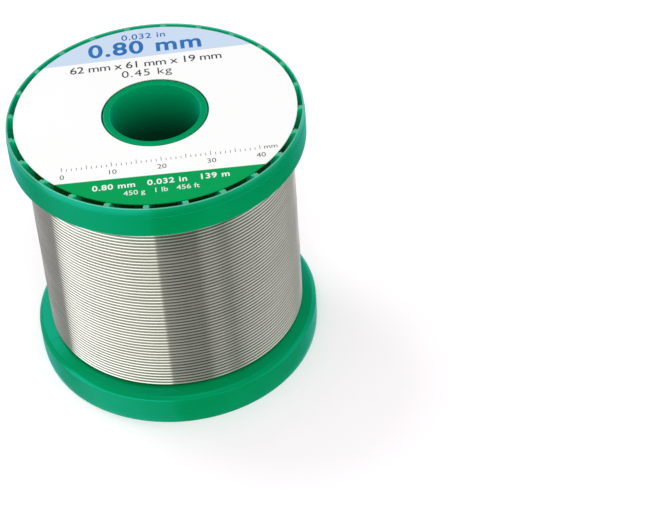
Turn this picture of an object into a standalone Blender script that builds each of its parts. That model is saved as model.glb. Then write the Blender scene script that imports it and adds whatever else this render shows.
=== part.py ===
"""Solder wire spool: two ribbed flanges on a hub tube and a barrel, paper labels and wound wire.

Metres, +Z up along the spool's axis. The origin is the middle of the lower flange's foot, so the
spool stands on the plane z = 0. Run it in Blender's text editor or with --background --python.
"""

import math

import bmesh
import bpy
from mathutils import Vector

# Spool body
SPOOL_HEIGHT = 0.0610
FLANGE_DIAMETER = 0.0620
FLANGE_THICKNESS = 0.0081
WEB_THICKNESS = 0.0020
RIM_WALL = 0.00065
LIP_SEAT = 0.00015
SHOULDER_RUN = 0.0002
SHOULDER_RISE = 0.0021
INNER_ROUND = 0.0021
RIB_COUNT = 24
RIB_THICKNESS = 0.0012
COLLAR_WALL = 0.00165
SPIGOT_LENGTH = 0.0030
SPIGOT_WALL = 0.00105

# Hub tube and barrel
BORE_DIAMETER = 0.0190
HUB_WALL = 0.00145
HUB_RECESS = 0.0002
HUB_EDGE_ROUND = 0.0004
BORE_EDGE_ROUND = 0.0007
BARREL_WALL = 0.0014

# Labels
LABEL_THICKNESS = 0.0002
LABEL_RECESS = 0.00015
LABEL_RIM_GAP = 0.0009
LABEL_HOLE_GAP = 0.00045

# Wire: 24 coarse turns stand for the close turns of the real outer layer
WIRE_DIAMETER = 0.0008
FLANGE_MARGIN = 0.00285
COARSE_TURNS = 24
TURN_GAP = 0.00042
WINDING_START_ANGLE = 100.0

# Slot in the barrel that the wire's start is hooked through
SLOT_WIDTH = 0.0018
SLOT_LENGTH = 0.0045
SLOT_RISE = 0.0020
START_BEND_RADIUS = 0.0016
START_RUN = 0.0060

# Tape over the wire's free end
TAPE_WIDTH = 0.0100
TAPE_LENGTH = 0.0260
TAPE_THICKNESS = 0.0002

# Clearance between pieces that touch, and how far a cutter runs past what it cuts
GAP = 0.0003
CUT_OVERRUN = 0.0010

# Facets
BODY_SEGMENTS = 72
HUB_SEGMENTS = 48
ROUND_STEPS = 4
EDGE_STEPS = 2
POCKET_INNER_STEPS = 2
POCKET_OUTER_STEPS = 4
POINTS_PER_TURN = 24
TURN_TUBE_STEPS = 1
START_TUBE_STEPS = 2
BEND_STEPS = 6
TAPE_STEPS = 12
SHARP_ANGLE = 35.0

# Places that follow from the sizes above
FLANGE_RADIUS = FLANGE_DIAMETER / 2
LIP_RADIUS = FLANGE_RADIUS - RIM_WALL
BORE_RADIUS = BORE_DIAMETER / 2
HUB_RADIUS = BORE_RADIUS + HUB_WALL
COLLAR_BORE_RADIUS = HUB_RADIUS + GAP
COLLAR_RADIUS = COLLAR_BORE_RADIUS + COLLAR_WALL
SPIGOT_RADIUS = COLLAR_BORE_RADIUS + SPIGOT_WALL
BARREL_INNER_RADIUS = SPIGOT_RADIUS + GAP
BARREL_RADIUS = BARREL_INNER_RADIUS + BARREL_WALL
RIB_DEPTH = LABEL_RECESS + LABEL_THICKNESS + GAP
WINDING_RADIUS = FLANGE_RADIUS - FLANGE_MARGIN
WINDING_FOOT = FLANGE_THICKNESS + GAP
WINDING_TOP = SPOOL_HEIGHT - WINDING_FOOT
TURN_DIAMETER = (WINDING_TOP - WINDING_FOOT - COARSE_TURNS * TURN_GAP) / (COARSE_TURNS + 1)
TURN_PITCH = TURN_DIAMETER + TURN_GAP
HELIX_RADIUS = WINDING_RADIUS - TURN_DIAMETER / 2
CORE_RADIUS = HELIX_RADIUS * math.cos(math.pi / POINTS_PER_TURN) - TURN_DIAMETER / 2 - GAP
SLOT_MIDDLE = FLANGE_THICKNESS + SPIGOT_LENGTH + SLOT_RISE + SLOT_LENGTH / 2


def clear_scene():
    """Remove every object and collection that the file opened with."""
    for obj in list(bpy.data.objects):
        bpy.data.objects.remove(obj, do_unlink=True)
    for collection in list(bpy.data.collections):
        bpy.data.collections.remove(collection)


def new_collection(name):
    collection = bpy.data.collections.new(name)
    bpy.context.scene.collection.children.link(collection)
    return collection


def linear(channel):
    """Turn an sRGB channel from 0 to 255 into a linear one."""
    value = channel / 255
    return value / 12.92 if value <= 0.04045 else ((value + 0.055) / 1.055) ** 2.4


def material(name, srgb, roughness, metallic=0.0):
    """A plain Principled BSDF finish."""
    finish = bpy.data.materials.new(name)
    finish.use_nodes = True
    shader = finish.node_tree.nodes["Principled BSDF"]
    colour = [linear(channel) for channel in srgb] + [1.0]
    shader.inputs["Base Color"].default_value = colour
    shader.inputs["Roughness"].default_value = roughness
    shader.inputs["Metallic"].default_value = metallic
    finish.diffuse_color = colour
    return finish


def arc(centre, radii, start, stop, steps):
    """Points of an elliptical arc in the (radius, height) plane, angles in degrees."""
    points = []
    for step in range(steps + 1):
        angle = math.radians(start + (stop - start) * step / steps)
        points.append((centre[0] + radii[0] * math.cos(angle), centre[1] + radii[1] * math.sin(angle)))
    return points


def add_object(name, data, collection, finish=None):
    obj = bpy.data.objects.new(name, data)
    collection.objects.link(obj)
    if finish:
        data.materials.append(finish)
    return obj


def turned(name, outline, segments, collection, finish):
    """Turn a closed (radius, height) outline, which runs down its outer side, about Z."""
    mesh = bpy.data.meshes.new(name)
    bm = bmesh.new()
    corners = [bm.verts.new((radius, 0.0, height)) for radius, height in outline]
    for corner, following in zip(corners, corners[1:] + corners[:1]):
        bm.edges.new((corner, following))
    bm.to_mesh(mesh)
    bm.free()
    obj = add_object(name, mesh, collection, finish)
    screw = obj.modifiers.new("turn", "SCREW")
    screw.axis = "Z"
    screw.steps = segments
    screw.render_steps = segments
    screw.use_merge_vertices = True
    screw.merge_threshold = 0.00001
    return obj


def cut(obj, cutter):
    """Subtract a cutter, which follows the object it cuts."""
    cutter.parent = obj
    cutter.hide_render = True
    cutter.display_type = "WIRE"
    difference = obj.modifiers.new("cut", "BOOLEAN")
    difference.operation = "DIFFERENCE"
    difference.solver = "EXACT"
    difference.object = cutter


def shade_round(obj):
    """Replace the object's modifiers by their result, smooth except at real corners."""
    evaluated = obj.evaluated_get(bpy.context.evaluated_depsgraph_get())
    mesh = bpy.data.meshes.new_from_object(evaluated)
    mesh.name = obj.name
    obj.modifiers.clear()
    obj.data = mesh
    mesh.shade_smooth()
    mesh.set_sharp_from_angle(angle=math.radians(SHARP_ANGLE))


def flange_outline():
    """Outline of a flange whose outer face looks down, at z = 0."""
    spigot_end = FLANGE_THICKNESS + SPIGOT_LENGTH
    outline = [(COLLAR_BORE_RADIUS, spigot_end), (SPIGOT_RADIUS, spigot_end)]
    outline.append((SPIGOT_RADIUS, FLANGE_THICKNESS))
    round_centre = (FLANGE_RADIUS - INNER_ROUND, FLANGE_THICKNESS - INNER_ROUND)
    outline += arc(round_centre, (INNER_ROUND, INNER_ROUND), 90, 0, ROUND_STEPS)
    shoulder_centre = (FLANGE_RADIUS - SHOULDER_RUN, SHOULDER_RISE)
    outline += arc(shoulder_centre, (SHOULDER_RUN, SHOULDER_RISE), 0, -90, ROUND_STEPS)
    outline += [(LIP_RADIUS, 0.0), (LIP_RADIUS, RIB_DEPTH), (COLLAR_BORE_RADIUS, RIB_DEPTH)]
    return outline


def pocket_corners(middle):
    """Plan of one pocket between two ribs, whose sides run parallel to its ribs."""
    half_spacing = math.pi / RIB_COUNT
    corners = []
    inner_side = (COLLAR_RADIUS, POCKET_INNER_STEPS, 1)
    outer_side = (LIP_RADIUS - LIP_SEAT, POCKET_OUTER_STEPS, -1)
    for radius, steps, turn in (inner_side, outer_side):
        reach = half_spacing - math.asin(RIB_THICKNESS / 2 / radius)
        for step in range(steps + 1):
            angle = middle + turn * reach * (2 * step / steps - 1)
            corners.append((radius * math.cos(angle), radius * math.sin(angle)))
    return corners


def pocket_cutter(name, collection):
    """All the pockets between the ribs of one flange, as separate closed wedges."""
    low = -CUT_OVERRUN
    depth = FLANGE_THICKNESS - WEB_THICKNESS - low
    bm = bmesh.new()
    for pocket in range(RIB_COUNT):
        corners = pocket_corners(pocket * math.tau / RIB_COUNT)
        floor = bm.faces.new([bm.verts.new((x, y, low)) for x, y in corners])
        walls = bmesh.ops.extrude_face_region(bm, geom=[floor])["geom"]
        moved = [item for item in walls if isinstance(item, bmesh.types.BMVert)]
        bmesh.ops.translate(bm, vec=(0.0, 0.0, depth), verts=moved)
    bmesh.ops.recalc_face_normals(bm, faces=bm.faces)
    mesh = bpy.data.meshes.new(name)
    bm.to_mesh(mesh)
    bm.free()
    return add_object(name, mesh, collection)


def make_flange(name, upper, parts, cutters, finish):
    """One flange moulding. The upper one is the same piece turned over."""
    flange = turned(name, flange_outline(), BODY_SEGMENTS, parts, finish)
    cut(flange, pocket_cutter(name + "_pockets", cutters))
    shade_round(flange)
    if upper:
        flange.location.z = SPOOL_HEIGHT
        flange.rotation_euler.x = math.pi
    return flange


def make_hub_tube(parts, finish):
    """Smooth through tube whose ends show as bright rings in the labels' holes."""
    foot = HUB_RECESS
    head = SPOOL_HEIGHT - HUB_RECESS
    edge = (HUB_EDGE_ROUND, HUB_EDGE_ROUND)
    mouth = (BORE_EDGE_ROUND, BORE_EDGE_ROUND)
    outline = arc((HUB_RADIUS - HUB_EDGE_ROUND, head - HUB_EDGE_ROUND), edge, 90, 0, EDGE_STEPS)
    outline += arc((HUB_RADIUS - HUB_EDGE_ROUND, foot + HUB_EDGE_ROUND), edge, 0, -90, EDGE_STEPS)
    outline += arc((BORE_RADIUS + BORE_EDGE_ROUND, foot + BORE_EDGE_ROUND), mouth, -90, -180, EDGE_STEPS)
    outline += arc((BORE_RADIUS + BORE_EDGE_ROUND, head - BORE_EDGE_ROUND), mouth, 180, 90, EDGE_STEPS)
    shade_round(turned("hub_tube", outline, HUB_SEGMENTS, parts, finish))


def slot_cutter(collection):
    """Upright slot through one side of the barrel, on +X."""
    mesh = bpy.data.meshes.new("anchor_slot")
    bm = bmesh.new()
    bmesh.ops.create_cube(bm, size=1.0)
    through = BARREL_WALL + 2 * CUT_OVERRUN
    bmesh.ops.scale(bm, vec=(through, SLOT_WIDTH, SLOT_LENGTH), verts=bm.verts)
    middle = (BARREL_INNER_RADIUS + BARREL_WALL / 2, 0.0, SLOT_MIDDLE)
    bmesh.ops.translate(bm, vec=middle, verts=bm.verts)
    bm.to_mesh(mesh)
    bm.free()
    return add_object("anchor_slot", mesh, collection)


def ring_outline(inner, outer, low, high):
    return [(inner, high), (outer, high), (outer, low), (inner, low)]


def make_barrel(parts, cutters, finish):
    """Drum that the wire is wound on, seated on the spigots of both flanges."""
    outline = ring_outline(BARREL_INNER_RADIUS, BARREL_RADIUS, WINDING_FOOT, WINDING_TOP)
    barrel = turned("barrel", outline, HUB_SEGMENTS, parts, finish)
    cut(barrel, slot_cutter(cutters))
    shade_round(barrel)


def make_label(name, low, parts, finish):
    """Paper ring that lies on the rib tops inside the rim's lip."""
    inner = HUB_RADIUS + LABEL_HOLE_GAP
    outer = LIP_RADIUS - LABEL_RIM_GAP
    outline = ring_outline(inner, outer, low, low + LABEL_THICKNESS)
    shade_round(turned(name, outline, BODY_SEGMENTS, parts, finish))


def make_labels(parts, finish):
    make_label("bottom_label", LABEL_RECESS, parts, finish)
    make_label("top_label", SPOOL_HEIGHT - LABEL_RECESS - LABEL_THICKNESS, parts, finish)


def make_inner_winding(parts, finish):
    """The wire's inner layers, as one plain ring round the barrel."""
    outline = ring_outline(BARREL_RADIUS + GAP, CORE_RADIUS, WINDING_FOOT, WINDING_TOP)
    shade_round(turned("inner_winding", outline, BODY_SEGMENTS, parts, finish))


def tube(name, points, diameter, tube_steps, parts, finish):
    """Round closed tube along a list of points."""
    curve = bpy.data.curves.new(name, "CURVE")
    curve.dimensions = "3D"
    curve.bevel_depth = diameter / 2
    curve.bevel_resolution = tube_steps
    curve.use_fill_caps = True
    spline = curve.splines.new("POLY")
    spline.points.add(len(points) - 1)
    for slot, point in zip(spline.points, points):
        slot.co = (*point, 1.0)
    spline.use_smooth = True
    return add_object(name, curve, parts, finish)


def helix_points():
    """Middle line of the outer layer, which climbs one pitch a turn at a steady rate."""
    points = []
    for step in range(COARSE_TURNS * POINTS_PER_TURN + 1):
        turns = step / POINTS_PER_TURN
        angle = math.radians(WINDING_START_ANGLE) + math.tau * turns
        height = WINDING_FOOT + TURN_DIAMETER / 2 + TURN_PITCH * turns
        points.append(Vector((HELIX_RADIUS * math.cos(angle), HELIX_RADIUS * math.sin(angle), height)))
    return points


def least_gap(points, diameter):
    """Smallest clear distance between turns, measured from point to point."""
    apart = POINTS_PER_TURN // 2
    pairs = ((first, second) for index, first in enumerate(points) for second in points[index + apart:])
    return min((second - first).length for first, second in pairs) - diameter


def make_outer_winding(parts, finish):
    points = helix_points()
    print(f"outer winding: least gap to itself {least_gap(points, TURN_DIAMETER) * 1000:.3f} mm")
    tube("outer_winding", points, TURN_DIAMETER, TURN_TUBE_STEPS, parts, finish)


def make_wire_start(parts, finish):
    """Start of the wire: in through the barrel's slot, then up beside the hub tube."""
    lane = (HUB_RADIUS + BARREL_INNER_RADIUS) / 2
    slot_floor = SLOT_MIDDLE - SLOT_LENGTH / 2
    height = slot_floor + GAP + WIRE_DIAMETER / 2
    bend = (START_BEND_RADIUS, START_BEND_RADIUS)
    path = [(BARREL_RADIUS, height)]
    path += arc((lane + START_BEND_RADIUS, height + START_BEND_RADIUS), bend, 270, 180, BEND_STEPS)
    path.append((lane, height + START_BEND_RADIUS + START_RUN))
    points = [Vector((radius, 0.0, level)) for radius, level in path]
    tube("wire_start", points, WIRE_DIAMETER, START_TUBE_STEPS, parts, finish)


def make_end_tape(parts, finish):
    """Strip of tape laid round the winding over the wire's free end."""
    radius = WINDING_RADIUS + GAP
    middle = math.radians(WINDING_START_ANGLE)
    high = WINDING_TOP - GAP
    bm = bmesh.new()
    columns = []
    for step in range(TAPE_STEPS + 1):
        angle = middle + TAPE_LENGTH / radius * (step / TAPE_STEPS - 0.5)
        spot = Vector((radius * math.cos(angle), radius * math.sin(angle), high))
        columns.append((bm.verts.new(spot), bm.verts.new(spot - Vector((0.0, 0.0, TAPE_WIDTH)))))
    for (top, foot), (next_top, next_foot) in zip(columns, columns[1:]):
        bm.faces.new((foot, next_foot, next_top, top))
    mesh = bpy.data.meshes.new("end_tape")
    bm.to_mesh(mesh)
    bm.free()
    tape = add_object("end_tape", mesh, parts, finish)
    solidify = tape.modifiers.new("thickness", "SOLIDIFY")
    solidify.thickness = TAPE_THICKNESS
    solidify.offset = 1.0


def build():
    clear_scene()
    parts = new_collection("solder_wire_spool")
    cutters = new_collection("cutters")
    green = material("green_plastic", (0, 150, 90), 0.32)
    paper = material("label_paper", (246, 247, 246), 0.55)
    solder = material("solder_wire", (196, 194, 188), 0.28, 1.0)
    film = material("clear_tape", (226, 214, 178), 0.35)
    make_flange("bottom_flange", False, parts, cutters, green)
    make_flange("top_flange", True, parts, cutters, green)
    make_hub_tube(parts, green)
    make_barrel(parts, cutters, green)
    make_labels(parts, paper)
    make_inner_winding(parts, solder)
    make_outer_winding(parts, solder)
    make_wire_start(parts, solder)
    make_end_tape(parts, film)


build()
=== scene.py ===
"""Dressed model of a solder wire spool: green flanges and hub, paper labels, wound wire and tape.

Metres, +Z up along the spool's axis, origin in the middle of the lower flange's foot. Each
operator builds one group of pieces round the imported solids, and the last one builds the studio.
"""

import math

import bmesh
import bpy
from bpy.props import (
    FloatProperty, FloatVectorProperty, IntProperty, PointerProperty, StringProperty)
from mathutils import Matrix, Vector


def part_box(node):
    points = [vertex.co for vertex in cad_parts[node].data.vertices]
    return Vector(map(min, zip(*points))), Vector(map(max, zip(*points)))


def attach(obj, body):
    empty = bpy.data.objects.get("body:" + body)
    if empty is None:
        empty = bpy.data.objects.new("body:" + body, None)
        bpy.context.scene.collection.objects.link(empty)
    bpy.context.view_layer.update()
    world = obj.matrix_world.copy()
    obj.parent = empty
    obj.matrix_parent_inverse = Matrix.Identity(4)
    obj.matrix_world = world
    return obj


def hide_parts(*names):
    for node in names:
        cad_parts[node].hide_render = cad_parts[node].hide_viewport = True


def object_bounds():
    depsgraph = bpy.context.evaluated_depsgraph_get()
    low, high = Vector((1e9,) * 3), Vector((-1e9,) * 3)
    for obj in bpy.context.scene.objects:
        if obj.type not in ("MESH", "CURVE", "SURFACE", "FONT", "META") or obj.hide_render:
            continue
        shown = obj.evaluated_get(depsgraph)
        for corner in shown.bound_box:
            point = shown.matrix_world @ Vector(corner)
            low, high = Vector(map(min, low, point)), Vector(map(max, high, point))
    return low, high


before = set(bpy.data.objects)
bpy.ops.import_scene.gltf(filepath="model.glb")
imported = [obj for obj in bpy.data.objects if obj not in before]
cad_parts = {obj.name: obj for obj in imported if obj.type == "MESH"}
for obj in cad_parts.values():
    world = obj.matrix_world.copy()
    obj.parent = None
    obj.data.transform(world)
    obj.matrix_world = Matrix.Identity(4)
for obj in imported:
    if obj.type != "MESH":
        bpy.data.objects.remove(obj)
CAD_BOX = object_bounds()

bl_info = {
    "name": "Solder wire spool",
    "version": (1, 0, 0),
    "blender": (4, 5, 0),
    "location": "View3D > Sidebar > Spool",
    "description": "Builds a solder wire spool and its studio round the packed solids",
    "category": "Add Mesh",
}

MM = 0.001
BODY = "root"

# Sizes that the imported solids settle
SPOOL_HEIGHT = CAD_BOX[1].z
FLANGE_RADIUS = CAD_BOX[1].x
LABEL_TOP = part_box("top_label")[1].z
LABEL_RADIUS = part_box("top_label")[1].x
HUB_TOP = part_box("hub_tube")[1].z
HUB_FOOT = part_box("hub_tube")[0].z
HUB_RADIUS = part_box("hub_tube")[1].x
BARREL_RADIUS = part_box("barrel")[1].x
WINDING_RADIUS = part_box("outer_winding")[1].x
WINDING_SEAT = 0.3 * MM
BORE_RADIUS = 9.4 * MM
FLANGE_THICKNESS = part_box("inner_winding")[0].z - WINDING_SEAT


# --- Node trees ---


class Value:
    """A number socket of a node tree that can be used in Python expressions."""

    def __init__(self, graph, socket):
        self.graph = graph
        self.socket = socket

    def _apply(self, operation, first, second):
        node = self.graph.add("ShaderNodeMath", {"operation": operation}, {0: first, 1: second})
        return Value(self.graph, node.outputs[0])

    def __add__(self, other):
        return self._apply("ADD", self, other)

    def __radd__(self, other):
        return self._apply("ADD", other, self)

    def __sub__(self, other):
        return self._apply("SUBTRACT", self, other)

    def __rsub__(self, other):
        return self._apply("SUBTRACT", other, self)

    def __mul__(self, other):
        return self._apply("MULTIPLY", self, other)

    def __rmul__(self, other):
        return self._apply("MULTIPLY", other, self)

    def __truediv__(self, other):
        return self._apply("DIVIDE", self, other)

    def __gt__(self, other):
        return self._apply("GREATER_THAN", self, other)

    def __lt__(self, other):
        return self._apply("LESS_THAN", self, other)

    def __abs__(self):
        return self._apply("ABSOLUTE", self, 0.0)

    def call(self, operation, other=0.0):
        return self._apply(operation, self, other)


class Graph:
    """Adds nodes to a node tree."""

    def __init__(self, tree):
        self.tree = tree

    def add(self, kind, settings=None, inputs=None):
        """One node of a kind: its settings are made first, then its sockets' values or links."""
        node = self.tree.nodes.new(kind)
        for name, setting in (settings or {}).items():
            if name == "stops":
                self._set_stops(node.color_ramp, setting)
            else:
                setattr(node, name, setting)
        self.fill(node, inputs or {})
        return node

    def fill(self, node, contents):
        """Set sockets of a node to values, or link them to other nodes' sockets."""
        for name, content in contents.items():
            if isinstance(content, Value):
                content = content.socket
            if isinstance(content, bpy.types.NodeSocket):
                self.tree.links.new(content, node.inputs[name])
            else:
                node.inputs[name].default_value = content

    @staticmethod
    def _set_stops(ramp, stops):
        while len(ramp.elements) < len(stops):
            ramp.elements.new(1.0)
        for element, (position, colour) in zip(ramp.elements, sorted(stops)):
            element.position = position
            element.color = (*colour, 1.0)

    def made(self, kind, inputs=None, settings=None):
        """The first output of a new node."""
        return self.add(kind, settings, inputs).outputs[0]

    def number(self, kind, settings=None, inputs=None, output=0):
        return Value(self, self.add(kind, settings, inputs).outputs[output])

    def attribute(self, name):
        return self.number("ShaderNodeAttribute", {"attribute_name": name}, output=2)

    def split(self, vector):
        node = self.add("ShaderNodeSeparateXYZ", None, {0: vector})
        return [Value(self, socket) for socket in node.outputs]

    def join(self, x, y, z):
        return self.made("ShaderNodeCombineXYZ", {0: x, 1: y, 2: z})

    def vector(self, operation, inputs):
        return self.made("ShaderNodeVectorMath", inputs, {"operation": operation})

    def scaled(self, vector, factors):
        return self.vector("MULTIPLY", {0: vector, 1: factors})

    def noise(self, vector, scale, detail=2.0, roughness=0.5):
        inputs = {"Vector": vector, "Scale": scale, "Detail": detail, "Roughness": roughness}
        return self.number("ShaderNodeTexNoise", {"noise_dimensions": "3D"}, inputs)

    def step(self, value, low, high, start=0.0, stop=1.0):
        """Smooth step of a value from low to high."""
        inputs = {0: value, 1: low, 2: high, 3: start, 4: stop}
        return self.number("ShaderNodeMapRange", {"interpolation_type": "SMOOTHSTEP"}, inputs)

    def mix(self, factor, first, second, blend="MIX"):
        """Mix two colours."""
        settings = {"data_type": "RGBA", "blend_type": blend}
        first, second = [(*c, 1.0) if isinstance(c, tuple) else c for c in (first, second)]
        return self.add("ShaderNodeMix", settings, {0: factor, 6: first, 7: second}).outputs[2]

    def shaded(self, colour, red, green, blue):
        """A colour with each channel times a number."""
        return self.mix(1.0, colour, self.join(red, green, blue), "MULTIPLY")

    def ramp(self, factor, stops):
        return self.made("ShaderNodeValToRGB", {0: factor}, {"stops": stops})

    def bump(self, height, distance, strength=1.0, under=None):
        inputs = {"Height": height, "Distance": distance, "Strength": strength}
        if under is not None:
            inputs["Normal"] = under
        return self.made("ShaderNodeBump", inputs)


def new_material(name):
    """A material with its graph, its Principled BSDF and the place on the object."""
    finish = bpy.data.materials.new(name)
    finish.use_nodes = True
    graph = Graph(finish.node_tree)
    place = graph.add("ShaderNodeTexCoord").outputs["Object"]
    return finish, graph, finish.node_tree.nodes["Principled BSDF"], place


def faded(colour, share):
    """A share of a colour's brightness."""
    return tuple(channel * share for channel in colour)


# --- Finishes ---


def green_plastic(name, settings):
    """Glossy moulded polystyrene with flow marks, fine scuffs, dust specks and a parting line,
    with painted highlights on the lip, rib tops and rim step, painted light in the slots, and
    painted light at the bore's mouth turning to painted shade deeper in.
    """
    finish, graph, shader, place = new_material(name)
    x, y, z = graph.split(place)
    flow = graph.noise(graph.scaled(place, (1.0, 1.0, 3.0)), 60.0, 3.0)
    base = tuple(settings.colour)
    colour = graph.mix(graph.step(flow, 0.35, 0.65), faded(base, 0.94), base)
    cells = graph.add("ShaderNodeTexVoronoi", {"feature": "F1"}, {"Vector": place, "Scale": 420.0})
    chosen = graph.split(cells.outputs["Color"])[0] > 0.955
    speck = graph.step(Value(graph, cells.outputs["Distance"]), 0.05, 0.11, 1.0, 0.0) * chosen
    colour = graph.mix(speck * 0.35, colour, (0.10, 0.52, 0.32))
    angle = settings.parting_angle
    off_plane = abs(x * math.sin(angle) - y * math.cos(angle))
    radius = (x * x + y * y).call("SQRT")
    parting = graph.step(off_plane, 0.0, 0.07 * MM, 1.0, 0.0) * (radius > 27.0 * MM)
    colour = graph.mix(parting * 0.5, colour, (0.0, 0.12, 0.05))
    depth = SPOOL_HEIGHT / 2 - abs(z - SPOOL_HEIGHT / 2)
    lip_inner, lip_outer, slot_inner = 30.42 * MM, 30.84 * MM, 28.0 * MM
    # Painted highlight: the lip's flat top and edge are coloured pale green.
    painted_lip_highlight = (radius > lip_inner) * (radius < lip_outer) * (depth < 0.16 * MM)
    colour = graph.mix(painted_lip_highlight * 0.85, colour, (0.17, 0.50, 0.33))
    # Painted highlight: the rib tops between the label and the lip are coloured pale green.
    painted_rib_highlight = (radius > slot_inner) * (radius < lip_inner) * (depth < 0.06 * MM)
    colour = graph.mix(painted_rib_highlight * 0.9, colour, (0.17, 0.45, 0.28))
    # The coat is thinned where the lip and rib tops carry painted highlights.
    coat_less_on_painted_highlights = 1.0 - painted_lip_highlight * 0.85 - painted_rib_highlight * 0.9
    # Painted light: the walls and floor of the slots between the ribs are coloured bright green,
    # where they would lie in shade.
    painted_slot_light = (radius > slot_inner) * (radius < lip_inner + 0.08 * MM)
    painted_slot_light = painted_slot_light * (depth > 0.10 * MM) * (depth < 6.3 * MM)
    colour = graph.mix(painted_slot_light, colour, (0.012, 0.68, 0.30))
    # Painted highlight: a pale line along the small step near the rim's outer edge.
    painted_step_highlight = (radius > FLANGE_RADIUS - 0.12 * MM) * (abs(depth - 2.12 * MM) < 0.07 * MM)
    colour = graph.mix(painted_step_highlight * 0.3, colour, (0.06, 0.46, 0.27))
    # Painted light near the bore's mouth, fading to painted shade deeper in, with blue raised more
    # inside the bore.
    inside = radius < BORE_RADIUS + 0.02 * MM
    painted_bore_light_and_shade = graph.step(depth, 0.4 * MM, 14.5 * MM, 1.52, 0.23) * inside + (1.0 - inside)
    colour = graph.shaded(colour, painted_bore_light_and_shade, painted_bore_light_and_shade, painted_bore_light_and_shade * (1.0 + inside * 0.45))
    scuff = graph.noise(graph.scaled(place, (1.0, 1.0, 6.0)), 900.0, 5.0, 0.7)
    smear = graph.noise(place, 140.0, 4.0, 0.6)
    rough = settings.roughness + graph.step(scuff, 0.5, 0.8) * 0.06 + (smear - 0.5) * 0.06
    skin = graph.bump(graph.noise(place, 160.0, 2.0), 0.006 * MM, 0.5)
    grain = graph.bump(scuff, 0.0008 * MM, 0.6, skin)
    normal = graph.bump(parting, -0.05 * MM, 0.8, grain)
    graph.fill(shader, {
        "Base Color": colour, "Roughness": rough, "Normal": normal, "IOR": 1.65,
        "Specular IOR Level": 1.0, "Specular Tint": (*settings.gloss_tint, 1.0),
        "Sheen Weight": settings.bloom, "Sheen Roughness": 0.35,
        "Sheen Tint": (0.0, 0.9, 0.8, 1.0),
        "Coat Weight": coat_less_on_painted_highlights, "Coat IOR": 1.12, "Coat Roughness": 0.12,
        "Coat Tint": (*settings.depth_tint, 1.0),
    })
    return finish


def label_paper(name, settings, facing):
    """Coated paper with a pale blue and a green field; facing is -1 for the lower label."""
    finish, graph, shader, place = new_material(name)
    x, y, _ = graph.split(place)
    reading = y * facing
    over = reading - x * math.tan(math.radians(0.8))
    under = reading + x * math.tan(math.radians(1.4))
    fibre = graph.noise(place, 2600.0, 4.0, 0.65)
    blotch = graph.noise(place, 90.0, 2.0)
    soft = 0.04 * MM
    blue_edge, green_edge = settings.blue_edge, -settings.green_edge
    blue = graph.step(over, blue_edge - soft, blue_edge + soft)
    green = graph.step(under, green_edge - soft, green_edge + soft, 1.0, 0.0)
    colour = graph.mix(blue, tuple(settings.paper), tuple(settings.blue))
    colour = graph.mix(green, colour, tuple(settings.green))
    wear = graph.step(fibre, 0.3, 0.7) * 0.6 + graph.step(blotch, 0.3, 0.7) * 0.4
    colour = graph.mix(wear, colour, (0.98, 0.98, 0.975), "MULTIPLY")
    rough = 0.42 + fibre * 0.14 - (green + blue) * 0.08
    normal = graph.bump(fibre, 0.006 * MM, 0.5)
    normal = graph.bump(blotch, 0.03 * MM, 0.4, normal)
    graph.fill(shader, {"Base Color": colour, "Roughness": rough, "Normal": normal,
                        "IOR": 1.45, "Specular IOR Level": 0.06})
    return finish


def printing_ink(name, colour):
    """Printed ink, slightly uneven."""
    finish, graph, shader, place = new_material(name)
    uneven = graph.noise(place, 1500.0, 3.0, 0.6)
    worn = tuple(channel * 0.8 + 0.15 for channel in colour)
    tone = graph.mix(graph.step(uneven, 0.4, 0.8, 0.0, 0.35), colour, worn)
    graph.fill(shader, {"Base Color": tone, "Roughness": 0.42 + uneven * 0.15})
    return finish


def drawn_solder(name, settings, wound=True):
    """Bright drawn tin alloy: fine lines along the wire, and turns that differ a little; on wound
    layers, painted shade on the underside of each turn, in the grooves.
    """
    finish, graph, shader, place = new_material(name)
    around, along = graph.attribute("around"), graph.attribute("along")
    lines = graph.noise(graph.join(along * 18.0, around * 9.0, 0.0), 3.0, 4.0, 0.7)
    patch = graph.noise(graph.join(along * 9.0, 0.0, 0.0), 1.0, 3.0, 0.6)
    haze = graph.noise(place, 55.0, 3.0)
    bright = tuple(settings.colour)
    tone = (graph.step(patch, 0.35, 0.65) * 0.6 + haze * 0.5).call("MINIMUM", 1.0)
    colour = graph.mix(tone, faded(bright, 0.84), bright)
    scratch = graph.step(lines, 0.58, 0.72)
    colour = graph.mix(scratch * 0.15, colour, faded(bright, 0.6))
    if wound:
        # Painted shade: each turn's downward-facing side is darkened, in the grooves between
        # turns.
        painted_groove_shade = graph.step(graph.attribute("level"), -0.15, 0.35, settings.groove, 1.0)
        colour = graph.shaded(colour, painted_groove_shade, painted_groove_shade, painted_groove_shade * 0.97)
    rough = settings.roughness + lines * 0.02 + graph.step(haze, 0.4, 0.7, 0.0, 0.015)
    normal = graph.bump(lines, 0.0008 * MM, 0.5)
    graph.fill(shader, {"Base Color": colour, "Roughness": rough, "Normal": normal,
                        "Metallic": 1.0})
    return finish


def clear_film(name, settings):
    """Clear tape with a pale amber adhesive, small air pockets and a few creases."""
    finish, graph, shader, place = new_material(name)
    pockets = graph.noise(place, 520.0, 3.0, 0.6)
    air = graph.step(pockets, 0.60, 0.68)
    crease = graph.noise(graph.scaled(place, (1.0, 1.0, 0.3)), 240.0, 2.0)
    colour = graph.mix(air, tuple(settings.colour), (0.90, 0.88, 0.82))
    graph.fill(shader, {
        "Base Color": colour, "Alpha": settings.cover + air * 0.14, "IOR": 1.47,
        "Roughness": 0.14 + air * 0.2, "Normal": graph.bump(crease, 0.05 * MM, 0.6)})
    return finish


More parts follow.
